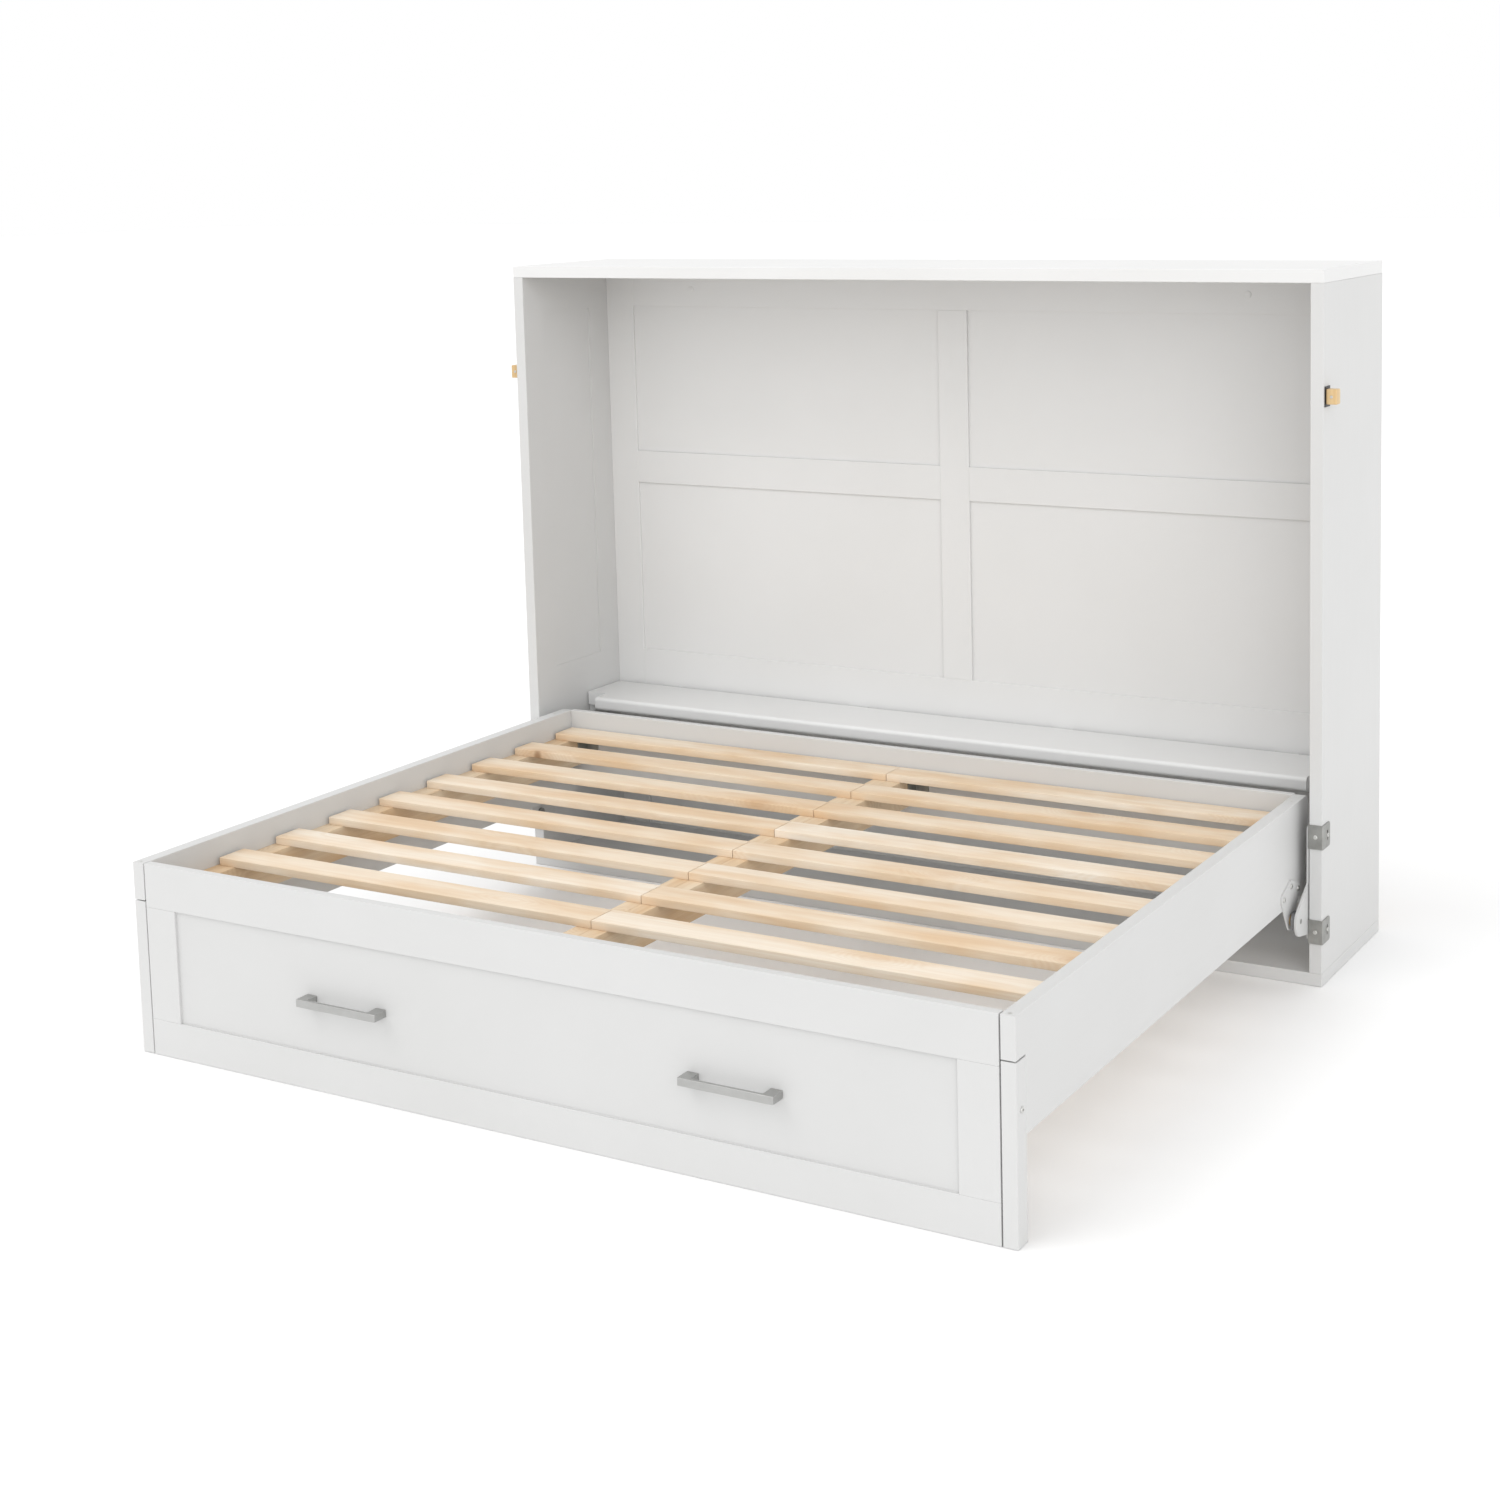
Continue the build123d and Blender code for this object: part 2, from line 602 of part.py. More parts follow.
def beam_bracket(x, side, end, inward):
    """A small steel angle that ties a beam's flank to the rail or foot board at its end."""
    long_leg, beam_leg, height, drop = ANGLE
    with BuildPart() as piece:
        with BuildSketch(Plane.XY.offset(slat_under - drop - height)):
            with BuildLine():
                Polyline(
                    (x, end),
                    (x + side * long_leg, end),
                    (x + side * long_leg, end + inward * BRACKET_STEEL),
                    (x + side * BRACKET_STEEL, end + inward * BRACKET_STEEL),
                    (x + side * BRACKET_STEEL, end + inward * beam_leg),
                    (x, end + inward * beam_leg),
                    close=True,
                )
            make_face()
        extrude(amount=height)
    return piece.part


rear_face, foot_back = REAR_END - REAR_RAIL, FOOT + FOOT_BOARD
angles = []
for side in (-1, 1):
    batten_flank = side * (BATTEN_PLAY + BATTEN[0])
    ledger_flank = side * (RAIL_INNER - LEDGER[0])
    angles.append(beam_bracket(batten_flank, side, rear_face, -1))
    angles.append(beam_bracket(batten_flank, side, foot_back, 1))
    angles.append(beam_bracket(ledger_flank, -side, rear_face, -1))
    angles.append(beam_bracket(ledger_flank, -side, foot_back, 1))
group("beam_brackets", angles)

first_slat = FRONT - 20 + SLAT[0] / 2
for row in range(SLAT_ROWS):
    with BuildPart() as slat_row:
        with BuildSketch(Plane.XY.offset(slat_under)):
            slat_length = RAIL_INNER - 8 - 1
            middle_y = first_slat - row * SLAT_PITCH
            with Locations(*[(side * (1 + slat_length / 2), middle_y) for side in (-1, 1)]):
                Rectangle(slat_length, SLAT[0])
        extrude(amount=SLAT[1])
        ease(slat_row, 2)
    keep(slat_row, f"slat_row_{row + 1}")

group("bed_screws", bed_screws())

# ---- export -------------------------------------------------------------------------------
os.makedirs("parts", exist_ok=True)
for label, piece in made.items():
    export_step(piece, f"parts/{label}.step")
print(len(made), "pieces;", "half width", HALF_WIDTH, "height", HEIGHT, "front", FRONT, "pivot", PIVOT)
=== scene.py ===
import math

import bmesh
import bpy
from mathutils import Matrix, Vector


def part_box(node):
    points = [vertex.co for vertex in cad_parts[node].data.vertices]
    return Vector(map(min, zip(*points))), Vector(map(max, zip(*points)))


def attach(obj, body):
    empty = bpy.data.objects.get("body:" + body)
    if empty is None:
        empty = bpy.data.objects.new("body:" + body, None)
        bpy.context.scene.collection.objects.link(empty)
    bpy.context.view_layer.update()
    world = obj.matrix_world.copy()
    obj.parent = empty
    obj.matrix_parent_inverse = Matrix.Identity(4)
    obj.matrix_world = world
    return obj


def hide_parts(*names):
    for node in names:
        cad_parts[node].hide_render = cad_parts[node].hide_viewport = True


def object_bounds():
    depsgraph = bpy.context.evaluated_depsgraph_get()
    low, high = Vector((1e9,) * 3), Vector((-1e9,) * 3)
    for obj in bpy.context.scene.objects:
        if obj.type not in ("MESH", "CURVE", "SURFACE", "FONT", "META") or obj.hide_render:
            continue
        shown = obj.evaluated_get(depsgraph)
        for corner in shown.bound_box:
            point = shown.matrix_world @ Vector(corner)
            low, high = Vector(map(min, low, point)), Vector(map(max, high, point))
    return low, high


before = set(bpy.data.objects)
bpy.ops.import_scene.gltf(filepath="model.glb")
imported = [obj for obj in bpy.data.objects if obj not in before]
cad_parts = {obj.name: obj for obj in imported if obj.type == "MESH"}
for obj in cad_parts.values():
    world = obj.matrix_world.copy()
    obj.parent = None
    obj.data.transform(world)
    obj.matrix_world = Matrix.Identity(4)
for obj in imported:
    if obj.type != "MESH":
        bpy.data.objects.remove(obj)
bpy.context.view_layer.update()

scene = bpy.context.scene


# ---- White boards ---------------------------------------------------------------------------
# Cabinet boards, shaker strips, side rails, legs and foot board: solid and engineered wood,
# primed and sprayed with satin white lacquer. They stay as the design has them, with eased edges.
def new_material(name):
    """An empty node material, its shader and a short way to add nodes to it."""
    material = bpy.data.materials.new(name)
    material.use_nodes = True
    tree = material.node_tree
    shader = tree.nodes["Principled BSDF"]

    def add(kind, **settings):
        node = tree.nodes.new("ShaderNode" + kind)
        for key, value in settings.items():
            if hasattr(node, key):
                setattr(node, key, value)
            else:
                node.inputs[key.replace("_", " ")].default_value = value
        return node

    return material, tree, shader, add


def white_lacquer(name, along, shade=0.610, sheen=0.40):
    """Sprayed lacquer over wood: a faint drag of the grain, orange peel and uneven gloss."""
    material, tree, shader, add = new_material(name)
    place = add("TexCoord")
    stretch = add("Mapping")
    stretch.inputs["Scale"].default_value = tuple(3.0 if axis == along else 42.0 for axis in "XYZ")
    tree.links.new(place.outputs["Object"], stretch.inputs["Vector"])
    grain = add("TexNoise", Scale=2.2, Detail=4.0, Roughness=0.6)
    tree.links.new(stretch.outputs["Vector"], grain.inputs["Vector"])
    clouds = add("TexNoise", Scale=2.4, Detail=3.0)
    tree.links.new(place.outputs["Object"], clouds.inputs["Vector"])
    tone = add("ValToRGB")
    tone.color_ramp.elements[0].position = 0.3
    tone.color_ramp.elements[0].color = (shade - 0.022, shade - 0.022, shade - 0.028, 1)
    tone.color_ramp.elements[1].position = 0.7
    tone.color_ramp.elements[1].color = (shade, shade, shade - 0.004, 1)
    tree.links.new(clouds.outputs["Fac"], tone.inputs["Fac"])
    tree.links.new(tone.outputs["Color"], shader.inputs["Base Color"])
    gloss = add("MapRange")
    gloss.inputs["To Min"].default_value = sheen - 0.05
    gloss.inputs["To Max"].default_value = sheen + 0.07
    tree.links.new(grain.outputs["Fac"], gloss.inputs["Value"])
    tree.links.new(gloss.outputs["Result"], shader.inputs["Roughness"])
    peel = add("TexNoise", Scale=520.0, Detail=2.0)
    tree.links.new(place.outputs["Object"], peel.inputs["Vector"])
    fine = add("Bump", Strength=0.05, Distance=0.0004)
    tree.links.new(peel.outputs["Fac"], fine.inputs["Height"])
    drag = add("Bump", Strength=0.10, Distance=0.0006)
    tree.links.new(grain.outputs["Fac"], drag.inputs["Height"])
    tree.links.new(fine.outputs["Normal"], drag.inputs["Normal"])
    tree.links.new(drag.outputs["Normal"], shader.inputs["Normal"])
    return material


def finish(node, material):
    """Give a design piece its finish."""
    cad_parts[node].data.materials.clear()
    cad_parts[node].data.materials.append(material)


lacquer = {axis: white_lacquer("white_lacquer_" + axis.lower(), axis) for axis in "XYZ"}
boards_by_grain = {
    "X": (
        "bottom_board", "rear_rail", "foot_top_rail", "foot_bottom_rail",
    ),
    "Y": ("left_side_rail", "right_side_rail", "ledge_cleats"),
    "Z": (
        "left_side_panel", "right_side_panel", "foot_left_stile", "foot_right_stile", "left_leg",
        "right_leg",
    ),
}
for axis, boards in boards_by_grain.items():
    for board in boards:
        finish(board, lacquer[axis])
finish("foot_field", white_lacquer("field_lacquer", "X", shade=0.600, sheen=0.44))


# ---- Back panel -----------------------------------------------------------------------------
# A sheet let in behind thin applied strips, which make four sunk fields. It takes a whiter copy of
# the same lacquer, as do the top board and the ledge: painted light that brightens the shaded inside
# of the cabinet and its top.
# Painted light: the same white lacquer, made whiter than on the other boards.
painted_light_lacquer = {
    axis: white_lacquer("painted_light_lacquer_" + axis.lower(), axis, shade=0.72) for axis in "XZ"
}
painted_light_boards = (
    "back_sheet", "back_top_rail", "back_middle_rails", "back_bottom_rail", "ledge_board",
    "top_board",
)
for board in painted_light_boards:
    finish(board, painted_light_lacquer["X"])
for board in ("back_left_stile", "back_right_stile", "back_centre_stile"):
    finish(board, painted_light_lacquer["Z"])


# ---- Wall nailers ---------------------------------------------------------------------------
# Two square-sawn softwood rails glued and screwed behind the back sheet. They carry the wall
# bolts, and nobody sees them once the cabinet is up, so they stay bare.
def pine(name, along, pale, dark, knots=1.0, rough=0.55):
    """Planed pine with its grain along one axis: bands of growth that swell round the knots."""
    material, tree, shader, add = new_material(name)
    link = tree.links.new
    place = add("TexCoord")
    lot = add("Attribute", attribute_name="board_lot")
    turn_grain = add("Mapping")
    turn_grain.inputs["Rotation"].default_value = {
        "X": (0, 0, 0), "Y": (0, 0, -math.pi / 2), "Z": (0, math.pi / 2, 0),
    }[along]
    link(place.outputs["Object"], turn_grain.inputs["Vector"])
    spread = add("VectorMath", operation="MULTIPLY")
    spread.inputs[1].default_value = (7.3, 3.1, 1.7)
    link(lot.outputs["Fac"], spread.inputs[0])
    moved = add("VectorMath", operation="ADD")
    link(turn_grain.outputs["Vector"], moved.inputs[0])
    link(spread.outputs["Vector"], moved.inputs[1])

    spots = add("TexVoronoi", feature="F1", Scale=2.6, Randomness=1.0)
    flatten = add("VectorMath", operation="MULTIPLY")
    flatten.inputs[1].default_value = (0.9, 1.9, 0.4)
    link(moved.outputs["Vector"], flatten.inputs[0])
    link(flatten.outputs["Vector"], spots.inputs["Vector"])
    swell = add("MapRange", interpolation_type="SMOOTHSTEP")
    swell.inputs["From Min"].default_value = 0.30
    swell.inputs["From Max"].default_value = 0.02
    link(spots.outputs["Distance"], swell.inputs["Value"])

    long_grain = add("VectorMath", operation="MULTIPLY")
    long_grain.inputs[1].default_value = (0.55, 11.0, 15.0)
    link(moved.outputs["Vector"], long_grain.inputs[0])
    wander = add("TexNoise", Scale=1.3, Detail=3.0, Roughness=0.5)
    link(long_grain.outputs["Vector"], wander.inputs["Vector"])
    phase = add("Math", operation="MULTIPLY_ADD")
    phase.inputs[1].default_value = 1.1
    link(swell.outputs["Result"], phase.inputs[0])
    link(wander.outputs["Fac"], phase.inputs[2])
    bands = add("Math", operation="MULTIPLY")
    bands.inputs[1].default_value = 46.0
    link(phase.outputs["Value"], bands.inputs[0])
    rings = add("Math", operation="SINE")
    link(bands.outputs["Value"], rings.inputs[0])
    ring_tone = add("MapRange")
    ring_tone.inputs["From Min"].default_value = -1.0
    ring_tone.inputs["To Max"].default_value = 1.0
    link(rings.outputs["Value"], ring_tone.inputs["Value"])

    fibre_place = add("VectorMath", operation="MULTIPLY")
    fibre_place.inputs[1].default_value = (9.0, 420.0, 420.0)
    link(moved.outputs["Vector"], fibre_place.inputs[0])
    fibres = add("TexNoise", Scale=1.0, Detail=3.0, Roughness=0.65)
    link(fibre_place.outputs["Vector"], fibres.inputs["Vector"])

    wood = add("MixRGB", blend_type="MIX")
    wood.inputs["Color1"].default_value = (*pale, 1)
    wood.inputs["Color2"].default_value = (*dark, 1)
    soften = add("Math", operation="MULTIPLY")
    soften.inputs[1].default_value = 0.38
    link(ring_tone.outputs["Result"], soften.inputs[0])
    link(soften.outputs["Value"], wood.inputs["Fac"])
    fleck = add("MixRGB", blend_type="MULTIPLY")
    fleck_tone = add("ValToRGB")
    fleck_tone.color_ramp.elements[0].position = 0.30
    fleck_tone.color_ramp.elements[0].color = (0.90, 0.87, 0.83, 1)
    fleck_tone.color_ramp.elements[1].position = 0.62
    fleck_tone.color_ramp.elements[1].color = (1, 1, 1, 1)
    link(fibres.outputs["Fac"], fleck_tone.inputs["Fac"])
    fleck.inputs["Fac"].default_value = 0.6
    link(wood.outputs["Color"], fleck.inputs["Color1"])
    link(fleck_tone.outputs["Color"], fleck.inputs["Color2"])
    board_tone = add("ValToRGB")
    board_tone.color_ramp.elements[0].color = (1.0, 1.0, 1.0, 1)
    board_tone.color_ramp.elements[1].color = (0.92, 0.84, 0.74, 1)
    link(lot.outputs["Fac"], board_tone.inputs["Fac"])
    each_board = add("MixRGB", blend_type="MULTIPLY")
    each_board.inputs["Fac"].default_value = 1.0
    link(fleck.outputs["Color"], each_board.inputs["Color1"])
    link(board_tone.outputs["Color"], each_board.inputs["Color2"])
    knot = add("MapRange", interpolation_type="SMOOTHSTEP")
    knot.inputs["From Min"].default_value = 0.040
    knot.inputs["From Max"].default_value = 0.014
    knot.inputs["To Max"].default_value = 0.72 * knots
    link(spots.outputs["Distance"], knot.inputs["Value"])
    patch_place = add("VectorMath", operation="MULTIPLY")
    patch_place.inputs[1].default_value = (3.2, 13.0, 13.0)
    link(moved.outputs["Vector"], patch_place.inputs[0])
    patches = add("TexNoise", Scale=1.0, Detail=3.0, Roughness=0.55)
    link(patch_place.outputs["Vector"], patches.inputs["Vector"])
    patch_tone = add("ValToRGB")
    patch_tone.color_ramp.elements[0].position = 0.40
    patch_tone.color_ramp.elements[0].color = (1.0, 1.0, 1.0, 1)
    patch_tone.color_ramp.elements[1].position = 0.66
    patch_tone.color_ramp.elements[1].color = (0.88, 0.74, 0.58, 1)
    link(patches.outputs["Fac"], patch_tone.inputs["Fac"])
    heartwood = add("MixRGB", blend_type="MULTIPLY")
    heartwood.inputs["Fac"].default_value = 0.85
    link(each_board.outputs["Color"], heartwood.inputs["Color1"])
    link(patch_tone.outputs["Color"], heartwood.inputs["Color2"])
    stain = add("MapRange", interpolation_type="SMOOTHSTEP")
    stain.inputs["From Min"].default_value = 0.17
    stain.inputs["From Max"].default_value = 0.03
    stain.inputs["To Max"].default_value = 0.55 * knots
    link(spots.outputs["Distance"], stain.inputs["Value"])
    stained = add("MixRGB", blend_type="MULTIPLY")
    stained.inputs["Color2"].default_value = (0.78, 0.60, 0.42, 1)
    link(stain.outputs["Result"], stained.inputs["Fac"])
    link(heartwood.outputs["Color"], stained.inputs["Color1"])
    knotted = add("MixRGB", blend_type="MIX")
    knotted.inputs["Color2"].default_value = (0.26, 0.13, 0.055, 1)
    link(knot.outputs["Result"], knotted.inputs["Fac"])
    link(stained.outputs["Color"], knotted.inputs["Color1"])
    link(knotted.outputs["Color"], shader.inputs["Base Color"])

    gloss = add("MapRange")
    gloss.inputs["To Min"].default_value = rough - 0.08
    gloss.inputs["To Max"].default_value = rough + 0.10
    link(fibres.outputs["Fac"], gloss.inputs["Value"])
    link(gloss.outputs["Result"], shader.inputs["Roughness"])
    pores = add("Bump", Strength=0.22, Distance=0.0005)
    link(fibres.outputs["Fac"], pores.inputs["Height"])
    ridges = add("Bump", Strength=0.12, Distance=0.0006)
    link(ring_tone.outputs["Result"], ridges.inputs["Height"])
    link(pores.outputs["Normal"], ridges.inputs["Normal"])
    link(ridges.outputs["Normal"], shader.inputs["Normal"])
    return material


bare_timber_x = pine("bare_timber_x", "X", (0.76, 0.61, 0.43), (0.62, 0.44, 0.28), rough=0.66)
finish("wall_nailers", bare_timber_x)


# ---- Steel parts ----------------------------------------------------------------------------
# Pressed steel, zinc plated on the edge channels, beam angles and turned pivot pins, and powder
# coated white on the plates and the ledge's hinge leaves. The ledge's hinge pins are blackened,
# and the bushes are oil-filled bronze.
def metal(name, tint, rough, stretch=(1, 1, 1), mottle=0.06, scratch=0.10):
    """Plated metal: cloudy tone, fine drawn scratches and uneven gloss."""
    material, tree, shader, add = new_material(name)
    link = tree.links.new
    shader.inputs["Metallic"].default_value = 1.0
    place = add("TexCoord")
    clouds = add("TexNoise", Scale=38.0, Detail=4.0)
    link(place.outputs["Object"], clouds.inputs["Vector"])
    tone = add("ValToRGB")
    tone.color_ramp.elements[0].position = 0.32
    tone.color_ramp.elements[0].color = (*[max(c - mottle, 0.0) for c in tint], 1)
    tone.color_ramp.elements[1].position = 0.68
    tone.color_ramp.elements[1].color = (*[min(c + mottle / 2, 1.0) for c in tint], 1)
    link(clouds.outputs["Fac"], tone.inputs["Fac"])
    link(tone.outputs["Color"], shader.inputs["Base Color"])
    drawn = add("Mapping")
    drawn.inputs["Scale"].default_value = stretch
    link(place.outputs["Object"], drawn.inputs["Vector"])
    lines = add("TexNoise", Scale=900.0, Detail=2.0)
    link(drawn.outputs["Vector"], lines.inputs["Vector"])
    gloss = add("MapRange")
    gloss.inputs["To Min"].default_value = rough - 0.08
    gloss.inputs["To Max"].default_value = rough + 0.10
    link(lines.outputs["Fac"], gloss.inputs["Value"])
    link(gloss.outputs["Result"], shader.inputs["Roughness"])
    bump = add("Bump", Strength=scratch, Distance=0.0002)
    link(lines.outputs["Fac"], bump.inputs["Height"])
    link(bump.outputs["Normal"], shader.inputs["Normal"])
    return material


zinc_plate = metal("zinc_plate", (0.37, 0.37, 0.355), 0.46)
black_steel = metal("black_steel", (0.06, 0.06, 0.065), 0.42, mottle=0.02)
bush_bronze = metal("bush_bronze", (0.56, 0.38, 0.19), 0.38)
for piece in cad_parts:
    if "edge_bracket" in piece or "pivot_pin" in piece or piece == "beam_brackets":
        finish(piece, zinc_plate)
for piece in ("ledge_hinge_pins", "side_block_plates"):
    finish(piece, black_steel)
finish("pivot_bushes", bush_bronze)
white_powder = white_lacquer("white_powder_coat", "Z", shade=0.58, sheen=0.50)
for piece in [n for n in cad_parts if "hinge_plate" in n or "pivot_plate" in n or "leaves" in n]:
    finish(piece, white_powder)


# ---- Side blocks ----------------------------------------------------------------------------
# A small oiled hardwood block on the outside of each side panel, on a black steel plate and held
# by one screw from the front.
block_wood = pine("block_wood", "Z", (0.70, 0.52, 0.28), (0.50, 0.33, 0.15), knots=0.0, rough=0.42)
for block in ("left_side_block", "right_side_block"):
    finish(block, block_wood)


# ---- Lift springs ---------------------------------------------------------------------------
# A torsion spring of thick oiled wire round each pivot pin carries part of the bed's weight; its
# tails hook over the plates on either side.
spring_wire = metal("spring_wire", (0.30, 0.30, 0.31), 0.34, mottle=0.08)


def smooth_by_angle(piece, degrees=32):
    """Keep real corners crisp and soft curves smooth."""
    shape = bmesh.new()
    shape.from_mesh(piece.data)
    bmesh.ops.remove_doubles(shape, verts=shape.verts, dist=1e-6)
    bmesh.ops.recalc_face_normals(shape, faces=shape.faces)
    for edge in shape.edges:
        edge.smooth = len(edge.link_faces) == 2 and edge.calc_face_angle(0) < math.radians(degrees)
    for face in shape.faces:
        face.smooth = True
    shape.to_mesh(piece.data)
    shape.free()


def coil(name, node, turns=3, wire=0.0042, tail=0.016, per_turn=24):
    """A close wound helix in the room that the design keeps for it, with two hooked tails."""
    lowest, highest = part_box(node)
    centre = (lowest + highest) / 2
    radius = (highest.z - lowest.z) / 2 - wire / 2
    reach = highest.x - lowest.x - wire
    path = []
    steps = per_turn * turns
    for step in range(steps + 1):
        angle = 2 * math.pi * step / per_turn
        x = lowest.x + wire / 2 + reach * step / steps
        path.append((x, centre.y + radius * math.cos(angle), centre.z + radius * math.sin(angle)))
    first, last = Vector(path[0]), Vector(path[-1])
    path.insert(0, tuple(first - Vector((0, 0, tail))))
    path.append(tuple(last + Vector((0, 0, tail))))
    curve = bpy.data.curves.new(name, "CURVE")
    curve.dimensions = "3D"
    curve.bevel_depth = wire / 2
    curve.bevel_resolution = 3
    curve.use_fill_caps = True
    line = curve.splines.new("POLY")
    line.points.add(len(path) - 1)
    for point, place in zip(line.points, path):
        point.co = (*place, 1)
    holder = bpy.data.objects.new(name, curve)
    scene.collection.objects.link(holder)
    view = bpy.context.evaluated_depsgraph_get()
    mesh = bpy.data.meshes.new_from_object(holder.evaluated_get(view))
    bpy.data.objects.remove(holder)
    piece = bpy.data.objects.new(name, mesh)
    scene.collection.objects.link(piece)
    mesh.materials.clear()
    mesh.materials.append(spring_wire)
    smooth_by_angle(piece, 50)
    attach(piece, "cabinet")
    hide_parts(node)


coil("left_spring_coil", "left_lift_spring")
coil("right_spring_coil", "right_lift_spring")


# ---- Bar pulls ------------------------------------------------------------------------------
# Two cast zinc bridge pulls in satin nickel on the foot board, each a flat bar on two square feet
# and screwed from behind.
satin_nickel = metal("satin_nickel", (0.47, 0.47, 0.46), 0.36, stretch=(0.03, 1, 1), mottle=0.02)


def bar_pull(name, node):
    """The pull's plan outline, raised to its height and eased."""
    lowest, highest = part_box(node)
    centre = (lowest.x + highest.x) / 2
    half = (highest.x - lowest.x) / 2
    foot, bar = 0.026, 0.008
    corner, throat = 0.0025, 0.004
    back, front = highest.y, lowest.y
    outline = []

    def arc(x, y, radius, start, stop, steps=7):
        for step in range(steps + 1):
            angle = math.radians(start + (stop - start) * step / steps)
            outline.append((x + radius * math.cos(angle), y + radius * math.sin(angle)))

    outline.append((centre - half, back))
    arc(centre - half + corner, front + corner, corner, 180, 270)
    arc(centre + half - corner, front + corner, corner, 270, 360)
    outline.append((centre + half, back))
    outline.append((centre + half - foot, back))
    arc(centre + half - foot - throat, front + bar + throat, throat, 0, -90)
    arc(centre - half + foot + throat, front + bar + throat, throat, -90, -180)
    outline.append((centre - half + foot, back))
    shape = bmesh.new()
    floor_ring = [shape.verts.new((x, y, lowest.z)) for x, y in outline]
    base = shape.faces.new(floor_ring)
    raised = bmesh.ops.extrude_face_region(shape, geom=[base])
    for vertex in [v for v in raised["geom"] if isinstance(v, bmesh.types.BMVert)]:
        vertex.co.z = highest.z
    bmesh.ops.recalc_face_normals(shape, faces=shape.faces)
    mesh = bpy.data.meshes.new(name)
    shape.to_mesh(mesh)
    shape.free()
    piece = bpy.data.objects.new(name, mesh)
    scene.collection.objects.link(piece)
    ease = piece.modifiers.new("ease", "BEVEL")
    ease.width = 0.0011
    ease.segments = 3
    ease.limit_method = "ANGLE"
    ease.angle_limit = math.radians(40)
    ease.harden_normals = True
    for face in mesh.polygons:
        face.use_smooth = True
    mesh.materials.append(satin_nickel)
    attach(piece, "bed_frame")
    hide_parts(node)


bar_pull("left_bar_pull", "left_handle")
bar_pull("right_bar_pull", "right_handle")


# ---- Ledgers and battens --------------------------------------------------------------------
# Planed softwood: a ledger screwed inside each side rail and a pair of battens under the middle
# of the slats, tied at both ends with steel angles.
bare_timber_y = pine("bare_timber_y", "Y", (0.73, 0.60, 0.44), (0.60, 0.44, 0.29), rough=0.62)
for beam in ("left_ledger", "right_ledger", "left_centre_batten", "right_centre_batten"):
    finish(beam, bare_timber_y)


# ---- Slats ----------------------------------------------------------------------------------
# Sixteen planed pine half slats in eight rows, laid from the side ledgers to the centre battens.
# Each one comes from its own board, so tone, rings and knots differ. The edges are eased.
def new_tree(name, sockets):
    """An empty Geometry Nodes tree with a geometry in and out, and the named inputs."""
    tree = bpy.data.node_groups.new(name, "GeometryNodeTree")
    tree.interface.new_socket("Geometry", in_out="INPUT", socket_type="NodeSocketGeometry")
    for label, kind, value in sockets:
        socket = tree.interface.new_socket(label, in_out="INPUT", socket_type="NodeSocket" + kind)
        if value is not None:
            socket.default_value = value
    tree.interface.new_socket("Geometry", in_out="OUTPUT", socket_type="NodeSocketGeometry")
    return tree, tree.nodes.new("NodeGroupInput"), tree.nodes.new("NodeGroupOutput")


def grow(name, mesh, tree, values, body):
    """Run a tree on a mesh with these input values and keep the plain result as one piece."""
    seed = bpy.data.objects.new(name + "_seed", mesh)
    scene.collection.objects.link(seed)
    modifier = seed.modifiers.new("tree", "NODES")
    modifier.node_group = tree
    for item in tree.interface.items_tree:
        if item.item_type == "SOCKET" and item.in_out == "INPUT" and item.name in values:
            modifier[item.identifier] = values[item.name]
    view = bpy.context.evaluated_depsgraph_get()
    result = bpy.data.meshes.new_from_object(seed.evaluated_get(view), depsgraph=view)
    seed.modifiers.remove(modifier)
    bpy.data.objects.remove(seed)
    piece = bpy.data.objects.new(name, result)
    result.name = name
    scene.collection.objects.link(piece)
    for face in result.polygons:
        face.use_smooth = True
    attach(piece, body)
    return piece


